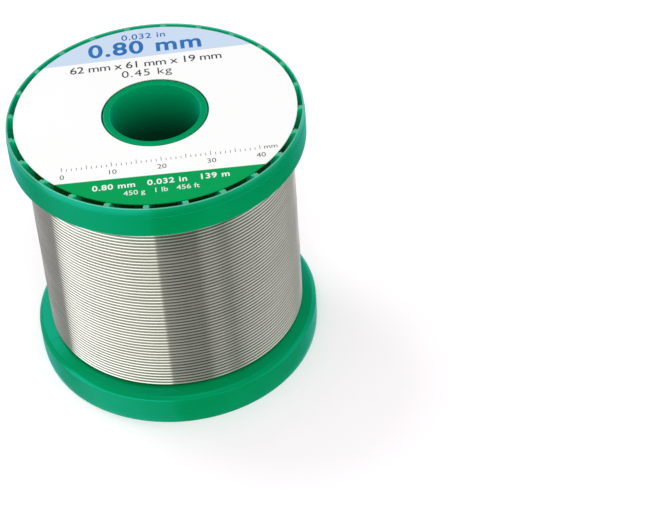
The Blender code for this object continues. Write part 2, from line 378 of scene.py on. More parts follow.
def resin_core(name):
    """Amber flux in the wire's cut end."""
    finish, graph, shader, place = new_material(name)
    cloud = graph.noise(place, 6000.0, 2.0)
    colour = graph.mix(cloud, (0.30, 0.13, 0.02), (0.62, 0.36, 0.08))
    graph.fill(shader, {"Base Color": colour, "Roughness": 0.25 + cloud * 0.1})
    return finish


# --- Mesh helpers ---


def in_scene(name, data):
    """A new object in the scene."""
    obj = bpy.data.objects.new(name, data)
    bpy.context.scene.collection.objects.link(obj)
    return obj


def add_piece(name, mesh, finish, slot, *nodes):
    """Put a mesh into the scene as a piece that rides on the spool and stands for CAD nodes."""
    piece = in_scene(name, mesh)
    mesh.materials.clear()
    mesh.materials.append(finish)
    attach(piece, BODY)
    if nodes:
        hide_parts(*nodes)


def add_both(name, upper, finishes, slot, node=None):
    """Add an upper piece, and the same one turned over at the spool's lower end."""
    lower = upper.copy()
    lower.transform(
        Matrix.Translation((0.0, 0.0, SPOOL_HEIGHT)) @ Matrix.Rotation(math.pi, 4, "X"))
    for end, mesh, finish in zip(("top_", "bottom_"), (upper, lower), finishes):
        mesh.name = end + name
        nodes = [end + node] if node else []
        add_piece(end + name, mesh, finish, slot, *nodes)


def smooth(mesh, angle=40.0):
    mesh.shade_smooth()
    mesh.set_sharp_from_angle(angle=math.radians(angle))
    return mesh


def mesh_from(name, bm):
    bmesh.ops.recalc_face_normals(bm, faces=bm.faces)
    mesh = bpy.data.meshes.new(name)
    bm.to_mesh(mesh)
    bm.free()
    return mesh


def polar(radius, angle, height=0.0):
    return Vector((radius * math.cos(angle), radius * math.sin(angle), height))


def arc(centre, radius, start, stop, steps):
    """Points of an arc, angles in degrees."""
    angles = [math.radians(start + (stop - start) * step / steps) for step in range(steps + 1)]
    return [(centre[0] + radius * math.cos(a), centre[1] + radius * math.sin(a)) for a in angles]


def bridge(bm, first, second, closed=True):
    """Faces between two rows of vertices that run side by side."""
    pairs = list(zip(first, second))
    following = pairs[1:] + (pairs[:1] if closed else [])
    for (a, b), (c, d) in zip(pairs, following):
        bm.faces.new((a, c, d, b))


def lathe(name, outline, segments):
    """Closed ring with a (radius, height) outline."""
    bm = bmesh.new()
    rings = []
    for segment in range(segments):
        angle = math.tau * segment / segments
        rings.append([bm.verts.new(polar(radius, angle, height)) for radius, height in outline])
    for ring, following in zip(rings, rings[1:] + rings[:1]):
        bridge(bm, ring, following)
    return smooth(mesh_from(name, bm))


def tube(name, points, radius, sides):
    """Round tube along points with flat ends."""
    bm = bmesh.new()
    rings = []
    turn = None
    for index, point in enumerate(points):
        ahead = points[min(index + 1, len(points) - 1)] - points[max(index - 1, 0)]
        if turn is None:
            turn = ahead.to_track_quat("Z", "Y")
        else:
            turn = (turn @ Vector((0, 0, 1))).rotation_difference(ahead) @ turn
        spots = [turn @ polar(radius, math.tau * side / sides) for side in range(sides)]
        rings.append([bm.verts.new(point + spot) for spot in spots])
    for ring, following in zip(rings, rings[1:]):
        bridge(bm, ring, following)
    for end in (rings[0], rings[-1]):
        bm.faces.new(end)
    return smooth(mesh_from(name, bm))


# --- Geometry Nodes ---


def new_geometry_tree(name, **inputs):
    """An empty tree with inputs named by kind. Returns its graph, its inputs and its output."""
    tree = bpy.data.node_groups.new(name, "GeometryNodeTree")
    for kind, labels in inputs.items():
        for label in labels:
            tree.interface.new_socket(label, in_out="INPUT", socket_type="NodeSocket" + kind)
    tree.interface.new_socket("Geometry", in_out="OUTPUT", socket_type="NodeSocketGeometry")
    graph = Graph(tree)
    source = graph.add("NodeGroupInput")
    given = {socket.name: Value(graph, socket) for socket in source.outputs if socket.name}
    return graph, given, graph.add("NodeGroupOutput")


def end_tree(graph, output, geometry, material, weld=None):
    """End a tree in real geometry with its material, welded where a distance is given."""
    geometry = graph.made("GeometryNodeRealizeInstances", {0: geometry})
    if weld is not None:
        inputs = {"Geometry": geometry, "Distance": weld}
        geometry = graph.made("GeometryNodeMergeByDistance", inputs)
    inputs = {"Geometry": geometry, "Material": material}
    graph.fill(output, {0: graph.made("GeometryNodeSetMaterial", inputs)})
    return graph.tree


def plain_mesh(name, carrier):
    """The evaluated shape of an object as a plain mesh. The object goes, and its modifier."""
    bpy.context.view_layer.update()
    evaluated = carrier.evaluated_get(bpy.context.evaluated_depsgraph_get())
    mesh = bpy.data.meshes.new_from_object(evaluated)
    mesh.name = name
    carrier.modifiers.clear()
    bpy.data.objects.remove(carrier, do_unlink=True)
    return mesh


def grow(name, tree, values, start_mesh=None):
    """Run a geometry tree on a mesh with the given inputs, and return the plain result."""
    carrier = in_scene(name + "_carrier", start_mesh or bpy.data.meshes.new(name + "_seed"))
    modifier = carrier.modifiers.new("grow", "NODES")
    modifier.node_group = tree
    for item in tree.interface.items_tree:
        if item.item_type == "SOCKET" and item.in_out == "INPUT" and item.name in values:
            modifier[item.identifier] = values[item.name]
    return plain_mesh(name, carrier)


def repeat_tree():
    """Repeats a piece round the spool's axis and welds it where the copies meet."""
    graph, given, output = new_geometry_tree(
        "repeat_round_axis", Geometry=["Geometry"], Int=["Count"], Float=["Weld Distance"],
        Material=["Material"])
    spots = graph.made("GeometryNodeMeshLine", {
        "Count": given["Count"], "Offset": (0.0, 0.0, 0.0)})
    turn = graph.number("GeometryNodeInputIndex") * math.tau / given["Count"]
    copies = graph.made("GeometryNodeInstanceOnPoints", {
        "Points": spots, "Instance": given["Geometry"], "Rotation": graph.join(0.0, 0.0, turn)})
    return end_tree(graph, output, copies, given["Material"], given["Weld Distance"])


def winding_tree():
    """One layer of wire: a tube along a helix whose turns wander a little."""
    graph, given, output = new_geometry_tree(
        "wire_layer",
        Float=["Radius", "Foot", "Rise", "Turns", "Wire Radius", "Start Angle", "Start Drop",
               "Wander", "Seed"],
        Int=["Points Per Turn", "Sides"], Bool=["Left Handed"], Material=["Material"])
    spiral = graph.made("GeometryNodeCurveSpiral", {
        "Resolution": given["Points Per Turn"], "Rotations": given["Turns"],
        "Start Radius": given["Radius"], "End Radius": given["Radius"],
        "Height": given["Rise"], "Reverse": given["Left Handed"]})
    turns_done = graph.number("GeometryNodeSplineParameter") * given["Turns"]
    x, y, _ = graph.split(graph.made("GeometryNodeInputPosition"))
    outward = graph.vector("NORMALIZE", {0: graph.join(x, y, 0.0)})

    def wander(shift):
        wave = graph.number("ShaderNodeTexNoise", {"noise_dimensions": "1D"}, {
            "W": turns_done * 2.3 + given["Seed"] + shift, "Scale": 1.0, "Detail": 2.0})
        return (wave - 0.5) * given["Wander"]

    def marked(geometry, name, content):
        inputs = {"Geometry": geometry, "Name": name, "Value": content}
        settings = {"data_type": "FLOAT", "domain": "POINT"}
        return graph.made("GeometryNodeStoreNamedAttribute", inputs, settings)

    drop = (1.0 - graph.step(turns_done, 0.0, 0.28)) * given["Start Drop"]
    ends = graph.step(turns_done, 0.3, 1.0) * graph.step(given["Turns"] - turns_done, 0.3, 1.0)
    push = graph.vector("SCALE", {0: outward, "Scale": wander(0.0) - drop})
    lift = graph.join(0.0, 0.0, wander(50.0) * ends * 0.5)
    moved = graph.made("GeometryNodeSetPosition", {
        "Geometry": spiral, "Offset": graph.vector("ADD", {0: push, 1: lift})})
    circle = graph.made("GeometryNodeCurvePrimitiveCircle", {
        "Resolution": given["Sides"], "Radius": given["Wire Radius"]})
    side = graph.number("GeometryNodeSplineParameter")
    wire = graph.made("GeometryNodeCurveToMesh", {
        "Curve": marked(moved, "along", turns_done),
        "Profile Curve": marked(circle, "around", side), "Fill Caps": True})
    # The upward facing of each point, which the solder finish turns into painted shade on each
    # turn's underside.
    upward = graph.split(graph.made("GeometryNodeInputNormal"))[2]
    placed = graph.made("GeometryNodeTransform", {
        "Geometry": marked(wire, "level", upward),
        "Translation": graph.join(0.0, 0.0, given["Foot"]),
        "Rotation": graph.join(0.0, 0.0, given["Start Angle"])})
    return end_tree(graph, output, placed, given["Material"])


# --- Settings ---


class SpoolPlastic(bpy.types.PropertyGroup):
    colour: FloatVectorProperty(
        name="Colour", description="Colour of the moulded plastic", subtype="COLOR",
        default=(0.0, 0.315, 0.084), min=0.0, max=1.0)
    gloss_tint: FloatVectorProperty(
        name="Gloss tint", description="Tint of the plastic's reflections", subtype="COLOR",
        default=(0.0, 0.95, 1.0), min=0.0, max=1.0)
    depth_tint: FloatVectorProperty(
        name="Depth tint", description="Tint of light that passes through the plastic's skin",
        subtype="COLOR", default=(0.13, 1.0, 1.0), min=0.0, max=1.0)
    roughness: FloatProperty(
        name="Roughness", description="Mean roughness of the plastic", subtype="FACTOR",
        default=0.17, min=0.0, max=1.0)
    bloom: FloatProperty(
        name="Bloom", description="Pale bloom of the plastic at grazing angles", subtype="FACTOR",
        default=0.45, min=0.0, max=1.0)
    parting_angle: FloatProperty(
        name="Parting line", description="Direction of the mould's parting line",
        subtype="ANGLE", default=math.radians(197.0))
    rib_count: IntProperty(name="Ribs", description="Ribs under each label", default=24, min=3)
    rib_thickness: FloatProperty(
        name="Rib thickness", description="Thickness of each rib", unit="LENGTH", default=1.2 * MM)
    lip_radius: FloatProperty(
        name="Lip radius", description="Inner radius of the rim's lip", unit="LENGTH",
        default=30.56 * MM)


class SpoolLabels(bpy.types.PropertyGroup):
    paper: FloatVectorProperty(
        name="Paper", description="Colour of the unprinted paper", subtype="COLOR",
        default=(0.955, 0.957, 0.955), min=0.0, max=1.0)
    blue: FloatVectorProperty(
        name="Upper field", description="Colour of the upper printed field", subtype="COLOR",
        default=(0.60, 0.71, 0.87), min=0.0, max=1.0)
    green: FloatVectorProperty(
        name="Lower field", description="Colour of the lower printed field", subtype="COLOR",
        default=(0.0, 0.345, 0.092), min=0.0, max=1.0)
    blue_edge: FloatProperty(
        name="Upper field edge", description="Distance of the upper field from the middle",
        unit="LENGTH", default=19.4 * MM)
    green_edge: FloatProperty(
        name="Lower field edge", description="Distance of the lower field from the middle",
        unit="LENGTH", default=20.2 * MM)
    gauge: StringProperty(name="Gauge", description="Printed wire gauge", default="0.80 mm")
    filling: StringProperty(name="Filling", description="Printed mass of wire", default="450 g")
    length: StringProperty(name="Length", description="Printed length of wire", default="139 m")
    inches: StringProperty(
        name="Gauge in inches", description="Printed wire gauge in inches", default="0.032 in")


class SpoolWire(bpy.types.PropertyGroup):
    colour: FloatVectorProperty(
        name="Colour", description="Colour of the solder", subtype="COLOR",
        default=(0.80, 0.795, 0.765), min=0.0, max=1.0)
    roughness: FloatProperty(
        name="Roughness", description="Least roughness of the wire", subtype="FACTOR",
        default=0.02, min=0.0, max=1.0)
    # Strength of the painted shade in the grooves between turns: the share of brightness left on
    # each turn's underside.
    groove: FloatProperty(
        name="Groove", description="How bright the wire is in the groove between two turns",
        subtype="FACTOR", default=0.42, min=0.0, max=1.0)
    diameter: FloatProperty(
        name="Diameter", description="Diameter of the wire", unit="LENGTH", default=0.8 * MM)
    turns: IntProperty(name="Turns", description="Turns in the outer layer", default=53, min=2)
    end_angle: FloatProperty(
        name="Free end", description="Direction of the wire's free end", subtype="ANGLE",
        default=math.radians(100.0))


class SpoolTape(bpy.types.PropertyGroup):
    colour: FloatVectorProperty(
        name="Colour", description="Colour of the tape's adhesive", subtype="COLOR",
        default=(0.72, 0.60, 0.36), min=0.0, max=1.0)
    cover: FloatProperty(
        name="Cover", description="How much the tape hides", subtype="FACTOR",
        default=0.17, min=0.0, max=1.0)
    length: FloatProperty(
        name="Length", description="Length of the tape", unit="LENGTH", default=26.0 * MM)
    width: FloatProperty(
        name="Width", description="Width of the tape", unit="LENGTH", default=10.0 * MM)


class SpoolStage(bpy.types.PropertyGroup):
    key_power: FloatProperty(
        name="Key light", description="Power of the soft light behind the spool", unit="POWER",
        default=1.25)
    front_power: FloatProperty(
        name="Front light", description="Power of the soft light over the camera", unit="POWER",
        default=1.65)
    fill_power: FloatProperty(
        name="Fill light", description="Power of the low soft light in front", unit="POWER",
        default=0.5)
    sky_level: FloatProperty(
        name="Sky level", description="Brightness of the soft light from all round", default=0.62)


def settings_of(name):
    return getattr(bpy.context.scene, name)


# --- Flanges ---

# Depths are below the plane of the lip. The pocket profile runs from a rib's edge down to the web.
WEB_DEPTH = 6.1 * MM
RIB_DEPTH = 0.37 * MM
LIP_TO_LABEL = 29.72 * MM
COLLAR_BORE = 11.25 * MM
COLLAR_RADIUS = 12.9 * MM
SPIGOT_RADIUS = 12.3 * MM
SPIGOT_LENGTH = 3.0 * MM
SHOULDER_RADIUS = FLANGE_RADIUS - 0.07 * MM
SHOULDER_EDGE = 0.28 * MM
SHOULDER_DEPTH = 2.06 * MM
SINK_TOP, SINK_FOOT = 0.2 * MM, 3.0 * MM
SINK_REACH = 1.5 * MM
SINK_DRAW = 0.03 * MM
POCKET_EDGE = [(0.12, 0.0), (0.06, 0.016), (0.016, 0.06), (0.0, 0.12), (-0.06, 5.55), (-0.30, 6.1)]
SHOULDER_ANGLES = (0, 4, 9, 15, 22, 32, 45, 60, 75, 86)
# The rim's edge beside the wire: distance in from the rim, distance out from the inner face
INNER_EDGE = [
    (0.0, 1.50), (0.0, 1.36), (0.015, 1.28), (0.05, 1.20), (0.10, 1.13), (0.16, 1.07),
    (0.45, 0.83), (0.74, 0.60), (0.82, 0.555), (0.92, 0.52), (1.05, 0.49), (1.9, 0.32),
    (2.7, 0.17), (3.2, 0.08), (3.6, 0.02), (4.2, 0.0),
]


def pocket_depth(distance):
    """Depth of a pocket at a distance outside its upper edge, negative inside the pocket."""
    distance /= MM
    if distance >= POCKET_EDGE[0][0]:
        return 0.0
    for (far, high), (near, low) in zip(POCKET_EDGE, POCKET_EDGE[1:]):
        if distance >= near - 1e-9:
            return (high + (low - high) * (far - distance) / (far - near)) * MM
    return POCKET_EDGE[-1][1] * MM


def face_rows(lip_radius):
    """Rows of the ribbed face, from the collar's bore out to the lip: radius, level, pocket."""
    rows = [(COLLAR_BORE, RIB_DEPTH + 0.1 * MM, 0.0), (COLLAR_BORE + 0.1 * MM, RIB_DEPTH, 0.0)]
    for distance, depth in POCKET_EDGE:
        rows.append((COLLAR_RADIUS - distance * MM, RIB_DEPTH, depth * MM))
    floor = POCKET_EDGE[-1][1] * MM
    for radius in (18.0 * MM, 24.0 * MM):
        rows.append((radius, RIB_DEPTH, floor))
    wall = lip_radius - 0.12 * MM
    for distance, depth in reversed(POCKET_EDGE):
        radius = wall + distance * MM
        if distance == POCKET_EDGE[-1][0]:
            rows.append((LIP_TO_LABEL - 0.06 * MM, RIB_DEPTH, floor))
            rows.append((LIP_TO_LABEL, 0.03 * MM, floor))
        rows.append((radius, 0.03 * MM if distance < 0.12 else 0.0, depth * MM))
    return rows


def rim_rows():
    """Rows of the rim, inner face, spigot and bore: radius and depth."""
    rows = []
    for degrees in SHOULDER_ANGLES:
        angle = math.radians(degrees)
        radius = SHOULDER_RADIUS - SHOULDER_EDGE + SHOULDER_EDGE * math.sin(angle)
        rows.append((radius, SHOULDER_DEPTH * (1.0 - math.cos(angle))))
    rows += [(SHOULDER_RADIUS, 2.10 * MM), (FLANGE_RADIUS, 2.13 * MM)]
    rows += [(FLANGE_RADIUS, 3.4 * MM), (FLANGE_RADIUS, 4.7 * MM)]
    for inset, up in INNER_EDGE:
        rows.append((FLANGE_RADIUS - inset * MM, FLANGE_THICKNESS - up * MM))
    rows += [(20.0 * MM, FLANGE_THICKNESS), (13.0 * MM, FLANGE_THICKNESS)]
    rows += [(SPIGOT_RADIUS + 0.15 * MM, FLANGE_THICKNESS)]
    rows += [(SPIGOT_RADIUS, FLANGE_THICKNESS + 0.15 * MM)]
    spigot_end = FLANGE_THICKNESS + SPIGOT_LENGTH
    rows += [(SPIGOT_RADIUS, spigot_end - 0.2 * MM), (SPIGOT_RADIUS - 0.2 * MM, spigot_end)]
    rows += [(COLLAR_BORE + 0.1 * MM, spigot_end), (COLLAR_BORE, spigot_end - 0.1 * MM)]
    rows += [(COLLAR_BORE, 6.0 * MM)]
    return rows


def sink_mark(from_rib, depth):
    """How far the cooling rib draws the shoulder in, at a distance from its middle."""
    if not SINK_TOP < depth < SINK_FOOT:
        return 0.0
    fade = math.sin(math.pi * (depth - SINK_TOP) / (SINK_FOOT - SINK_TOP))
    return SINK_DRAW * fade * math.exp(-(from_rib / SINK_REACH) ** 2)


def sector_columns(settings):
    """Columns of one sector, each at a distance from a rib or at a share between two."""
    half = settings.rib_thickness / 2
    beside = [half - distance * MM for distance, _ in POCKET_EDGE]
    columns = [("first", 0.0), ("first", half - 0.3 * MM)] + [("first", reach) for reach in beside]
    columns += [("share", share / 5) for share in range(1, 5)]
    columns += [("second", reach) for reach in reversed(beside)]
    columns += [("second", half - 0.3 * MM), ("second", 0.0)]
    return columns


def column_place(kind, amount, radius, sector, reach):
    """Angle of a column at a radius, and its distance outside the pocket's edge."""
    if kind == "first":
        return math.asin(min(amount / radius, 1.0)), reach - amount
    if kind == "second":
        return sector - math.asin(min(amount / radius, 1.0)), reach - amount
    inner = math.asin((reach + 0.3 * MM) / radius)
    return inner + (sector - 2 * inner) * amount, -1.0


def flange_sector(settings):
    """The part of the upper flange between the middles of two ribs."""
    sector = math.tau / settings.rib_count
    half = settings.rib_thickness / 2
    columns = sector_columns(settings)
    rows = face_rows(settings.lip_radius)
    rows += [(radius, depth, None) for radius, depth in rim_rows()]
    bm = bmesh.new()
    grid = []
    for kind, amount in columns:
        line = []
        for radius, level, pocket in rows:
            angle, outside = column_place(kind, amount, radius, sector, half)
            depth = level
            if pocket is not None:
                depth = min(level + min(pocket_depth(outside), pocket), WEB_DEPTH)
            elif radius > LIP_TO_LABEL:
                radius -= sink_mark(radius * min(angle, sector - angle), level)
            spot = polar(radius, angle + sector / 2, SPOOL_HEIGHT - depth)
            line.append(bm.verts.new(spot))
        grid.append(line)
    for line, following in zip(grid, grid[1:]):
        bridge(bm, line, following)
    mesh = bpy.data.meshes.new("flange_sector")
    bm.to_mesh(mesh)
    bm.free()
    return mesh


class SPOOL_OT_flanges(bpy.types.Operator):
    """Build both flanges with their ribs, lips and rounded rims"""

    bl_idname = "spool.flanges"
    bl_label = "Flanges"

    def execute(self, context):
        settings = settings_of("spool_plastic")
        finish = green_plastic("green_plastic", settings)
        bm = bmesh.new()
        bm.from_mesh(grow("flange", repeat_tree(), {
            "Count": settings.rib_count, "Weld Distance": 0.5e-6, "Material": finish,
        }, flange_sector(settings)))
        add_both("flange_moulding", smooth(mesh_from("flange_moulding", bm)), (finish, finish),
                 "spool_green", "flange")
        return {"FINISHED"}


# --- Hub and barrel ---


class SPOOL_OT_hub(bpy.types.Operator):
    """Build the hub tube with its smooth bore, and finish the barrel behind the wire"""

    bl_idname = "spool.hub"
    bl_label = "Hub"

    def execute(self, context):
        finish = green_plastic("hub_plastic", settings_of("spool_plastic"))
        bore = BORE_RADIUS
        edge = 0.25 * MM
        mouth = 0.16 * MM
        wall = HUB_RADIUS - 0.1 * MM
        outline = arc((wall - edge, HUB_TOP - edge), edge, 90, 0, 5)
        outline += [(wall, SPOOL_HEIGHT / 2)]
        outline += arc((wall - edge, HUB_FOOT + edge), edge, 0, -90, 5)
        outline += arc((bore + mouth, HUB_FOOT + mouth), mouth, -90, -180, 8)
        outline += [(bore, SPOOL_HEIGHT * share) for share in (0.25, 0.5, 0.75)]
        outline += arc((bore + mouth, HUB_TOP - mouth), mouth, 180, 90, 8)
        add_piece("hub_bore_tube", lathe("hub_bore_tube", outline, 160), finish, "spool_green",
                  "hub_tube")
        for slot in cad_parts["barrel"].material_slots:
            slot.material = finish
        return {"FINISHED"}


# --- Labels and printing ---

LABEL_THICKNESS = 0.2 * MM
LABEL_HOLE = 11.16 * MM
LABEL_TRIM = 0.09 * MM
LABEL_RINGS = (25.0 * MM, 18.0 * MM)
LABEL_SHIFT = Vector((0.11 * MM, 0.30 * MM, 0.0))
INK_HEIGHT = 0.010 * MM
INK_LEVEL = LABEL_TOP + INK_HEIGHT * 0.2
CAP_HEIGHT = 0.69
# The printed scale in millimetres: its length, and its place up the label
SCALE_LENGTH = 40
SCALE_BASE = -16.3


def label_mesh():
    """Paper ring with softened edges, its printed face up at the upper label's place."""
    top, foot = LABEL_TOP, LABEL_TOP - LABEL_THICKNESS
    edge = 0.05 * MM
    outer = LABEL_RADIUS - LABEL_TRIM
    outline = [(LABEL_HOLE + edge, top), (LABEL_HOLE, top - edge), (LABEL_HOLE, foot)]
    outline += [(outer, foot), (outer, top - edge), (outer - edge, top)]
    outline += [(radius, top) for radius in LABEL_RINGS]
    mesh = lathe("label_sheet", outline, 192)
    for vertex in mesh.vertices:
        share = (vertex.co.xy.length - LABEL_HOLE) / (outer - LABEL_HOLE)
        vertex.co += LABEL_SHIFT * min(max(share, 0.0), 1.0)
    return mesh


def words_mesh(name, rows):
    """Printed rows as one thin mesh: text, cap height, x of its middle, y, weight, spacing."""
    bm = bmesh.new()
    for body, height, middle, base, weight, spacing in rows:
        curve = bpy.data.curves.new(name + "_row", "FONT")
        curve.body = body
        curve.size = height * MM / CAP_HEIGHT
        curve.align_x = "CENTER"
        curve.extrude = INK_HEIGHT / 2
        curve.offset = weight * MM
        curve.space_character = spacing
        curve.resolution_u = 5
        flat = plain_mesh(name + "_row", in_scene(name + "_row", curve))
        place = Vector((middle * MM, base * MM, INK_LEVEL)) + LABEL_SHIFT
        flat.transform(Matrix.Translation(place))
        bm.from_mesh(flat)
        bpy.data.meshes.remove(flat)
    bmesh.ops.remove_doubles(bm, verts=bm.verts, dist=1e-7)
    return mesh_from(name, bm)


def scale_tree():
    """A printed millimetre scale: ticks along a line, with every fifth one longer."""
    graph, given, output = new_geometry_tree(
        "printed_scale", Int=["Ticks"], Float=["Spacing", "Tick Width", "Tick Height", "Ink"],
        Vector=["Place"], Material=["Material"])
    line = graph.made("GeometryNodeMeshLine", {
        "Count": given["Ticks"], "Offset": graph.join(given["Spacing"], 0.0, 0.0)})
    long_tick = graph.number("GeometryNodeInputIndex").call("MODULO", 5.0) < 0.5
    bar = graph.made("GeometryNodeMeshCube", {
        "Size": graph.join(given["Tick Width"], given["Tick Height"], given["Ink"])})
    lifted = graph.made("GeometryNodeTransform", {
        "Geometry": bar, "Translation": graph.join(0.0, given["Tick Height"] * 0.5, 0.0)})
    ticks = graph.made("GeometryNodeInstanceOnPoints", {
        "Points": line, "Instance": lifted, "Scale": graph.join(1.0, 1.0 + long_tick * 0.7, 1.0)})
    placed = graph.made("GeometryNodeTransform", {
        "Geometry": ticks, "Translation": given["Place"]})
    return end_tree(graph, output, placed, given["Material"])


class SPOOL_OT_labels(bpy.types.Operator):
    """Build the two paper labels"""

    bl_idname = "spool.labels"
    bl_label = "Labels"

    def execute(self, context):
        settings = settings_of("spool_labels")
        papers = (label_paper("upper_label_paper", settings, 1),
                  label_paper("lower_label_paper", settings, -1))
        add_both("label_sheet", label_mesh(), papers, "label_paper", "label")
        return {"FINISHED"}


class SPOOL_OT_printing(bpy.types.Operator):
    """Print plain numbers, units and a millimetre scale on both labels"""

    bl_idname = "spool.printing"
    bl_label = "Printing"

    def execute(self, context):
        settings = settings_of("spool_labels")
        blue = printing_ink("blue_ink", (0.002, 0.145, 0.46))
        grey = printing_ink("grey_ink", (0.03, 0.032, 0.034))
        white = printing_ink("white_ink", (0.90, 0.91, 0.90))
        scale_rows = [(str(mark), 1.35, mark - SCALE_LENGTH / 2, -18.7, 0.0, 1.0)
                      for mark in range(0, SCALE_LENGTH + 1, 10)]
        prints = {
            "blue_print": (blue, [
                (settings.inches, 1.9, -0.7, 25.6, 0.03, 1.08),
                (settings.gauge, 4.4, -0.6, 20.6, 0.15, 1.1)]),
            "grey_print": (grey, [
                ("62 mm x 61 mm x 19 mm", 2.25, -0.8, 15.6, 0.02, 0.94),
                ("0.45 kg", 2.3, -0.9, 12.4, 0.0, 1.1),
                ("mm", 1.3, 22.2, SCALE_BASE, 0.0, 1.0)] + scale_rows),
            "white_print": (white, [
                (f"{settings.gauge}   {settings.inches}   {settings.length}",
                 1.55, -0.5, -23.4, 0.045, 1.1),
                (f"{settings.filling}   1 lb   456 ft", 1.35, -0.6, -25.8, 0.0, 1.0)]),
        }
        for name, (ink, rows) in prints.items():
            add_both(name, words_mesh(name, rows), (ink, ink), "label_paper")
        place = Vector((-SCALE_LENGTH / 2 * MM, SCALE_BASE * MM, INK_LEVEL)) + LABEL_SHIFT
        ticks = grow("scale_print", scale_tree(), {
            "Ticks": SCALE_LENGTH + 1, "Spacing": MM, "Tick Width": 0.12 * MM,
            "Tick Height": 0.75 * MM, "Ink": INK_HEIGHT, "Place": place, "Material": grey})
        add_both("scale_print", ticks, (grey, grey), "label_paper")
        return {"FINISHED"}


# --- Wire ---

WIRE_MARGIN = 0.04 * MM
HOOK_BEND = 1.6 * MM
TAPE_THICKNESS = 0.06 * MM
TAPE_GAP = 0.035 * MM
TAPE_INSET = 0.35 * MM
TAPE_SAG = 0.02 * MM
TAPE_LIFT = 0.18 * MM
TAPE_NICK = 0.12 * MM


def outer_turns(settings):
    """Height of the outer layer's first turn, and the rise of each turn."""
    foot = FLANGE_THICKNESS + WIRE_MARGIN + settings.diameter / 2
    return foot, (SPOOL_HEIGHT - 2 * foot) / settings.turns


class SPOOL_OT_wire(bpy.types.Operator):
    """Wind the outer layer, the layer under it and the core of inner layers"""

    bl_idname = "spool.wire"
    bl_label = "Wire"

    def execute(self, context):
        settings = settings_of("spool_wire")
        finish = drawn_solder("solder", settings)
        tree = winding_tree()
        wire_radius = settings.diameter / 2
        foot, pitch = outer_turns(settings)
        rise = SPOOL_HEIGHT - 2 * foot
        outer_radius = WINDING_RADIUS - wire_radius
        nest = math.sqrt(max(settings.diameter ** 2 - (pitch / 2) ** 2, 0.0))
        values = {
            "Radius": outer_radius, "Foot": foot, "Rise": rise, "Turns": float(settings.turns),
            "Wire Radius": wire_radius, "Start Angle": settings.end_angle, "Start Drop": nest,
            "Wander": 0.02 * MM, "Seed": 3.0, "Points Per Turn": 128, "Sides": 12,
            "Left Handed": False, "Material": finish}
        outer = grow("outer_layer_wire", tree, values)
        add_piece("outer_layer_wire", smooth(outer, 50.0), finish, "solder_wire", "outer_winding")
        values.update({
            "Radius": outer_radius - nest, "Foot": foot + pitch / 2, "Rise": rise - pitch,
            "Turns": float(settings.turns - 1), "Start Drop": 0.0, "Seed": 8.0,
            "Start Angle": settings.end_angle + 0.3, "Points Per Turn": 96, "Sides": 8,
            "Left Handed": True})
        under = grow("under_layer_wire", tree, values)
        add_piece("under_layer_wire", smooth(under, 60.0), finish, "solder_wire")
        core = self.core_mesh(outer_radius - nest - wire_radius * 1.2, foot - wire_radius, pitch,
                              settings.turns)
        add_piece("inner_layers_wire", core, drawn_solder("solder_core", settings, wound=False),
                  "solder_wire", "inner_winding")
        return {"FINISHED"}

    @staticmethod
    def core_mesh(radius, foot, pitch, turns):
        """The inner layers as a ring with a groove between each two turns."""
        groove, inner = radius - 0.25 * MM, BARREL_RADIUS + 0.1 * MM
        outline = []
        for turn in range(turns + 1):
            low = foot + turn * pitch
            outline += [(groove, low), (radius, low + pitch * 0.3), (radius, low + pitch * 0.7)]
        top = foot + (turns + 1) * pitch
        outline += [(groove, top), (inner, top), (inner, foot)]
        return lathe("inner_layers_wire", outline, 96)


class SPOOL_OT_wire_ends(bpy.types.Operator):
    """Build the hooked start of the wire, and the cut free end with its flux cores"""

    bl_idname = "spool.wire_ends"
    bl_label = "Wire ends"

    def execute(self, context):
        settings = settings_of("spool_wire")
        finish = drawn_solder("solder_end", settings, wound=False)
        low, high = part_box("wire_start")
        radius = settings.diameter / 2
        lane, height = low.x + radius, low.z + radius
        path = [(high.x, height), (high.x - 0.4 * MM, height)]
        path += arc((lane + HOOK_BEND, height + HOOK_BEND), HOOK_BEND, 270, 180, 12)
        path += [(lane, height + HOOK_BEND + 3.0 * MM), (lane, high.z)]
        points = [Vector((reach, 0.0, level)) for reach, level in path]
        add_piece("wire_start_hook", tube("wire_start_hook", points, radius, 20), finish,
                  "solder_wire", "wire_start")
        self.flux_cores(settings, radius)
        return {"FINISHED"}

    @staticmethod
    def flux_cores(settings, radius):
        """Five amber cores that show in the free end's cut face."""
        foot, _ = outer_turns(settings)
        outward = polar(1.0, settings.end_angle)
        heading = Vector((-outward.y, outward.x, 0.0))
        middle = outward * (WINDING_RADIUS - radius) + Vector((0.0, 0.0, SPOOL_HEIGHT - foot))
        aim = heading.to_track_quat("Z", "Y").to_matrix().to_4x4()
        bm = bmesh.new()
        for core in range(5):
            across = polar(radius * 0.5, math.tau * core / 5)
            spot = middle + outward * across.x + Vector((0.0, 0.0, across.y))
            place = Matrix.Translation(spot + heading * 0.01 * MM) @ aim
            bmesh.ops.create_cone(bm, cap_ends=True, segments=12, radius1=radius * 0.19,
                                  radius2=radius * 0.16, depth=0.06 * MM, matrix=place)
        mesh = smooth(mesh_from("flux_cores", bm))
        add_piece("flux_cores", mesh, resin_core("flux"), "clear_tape")


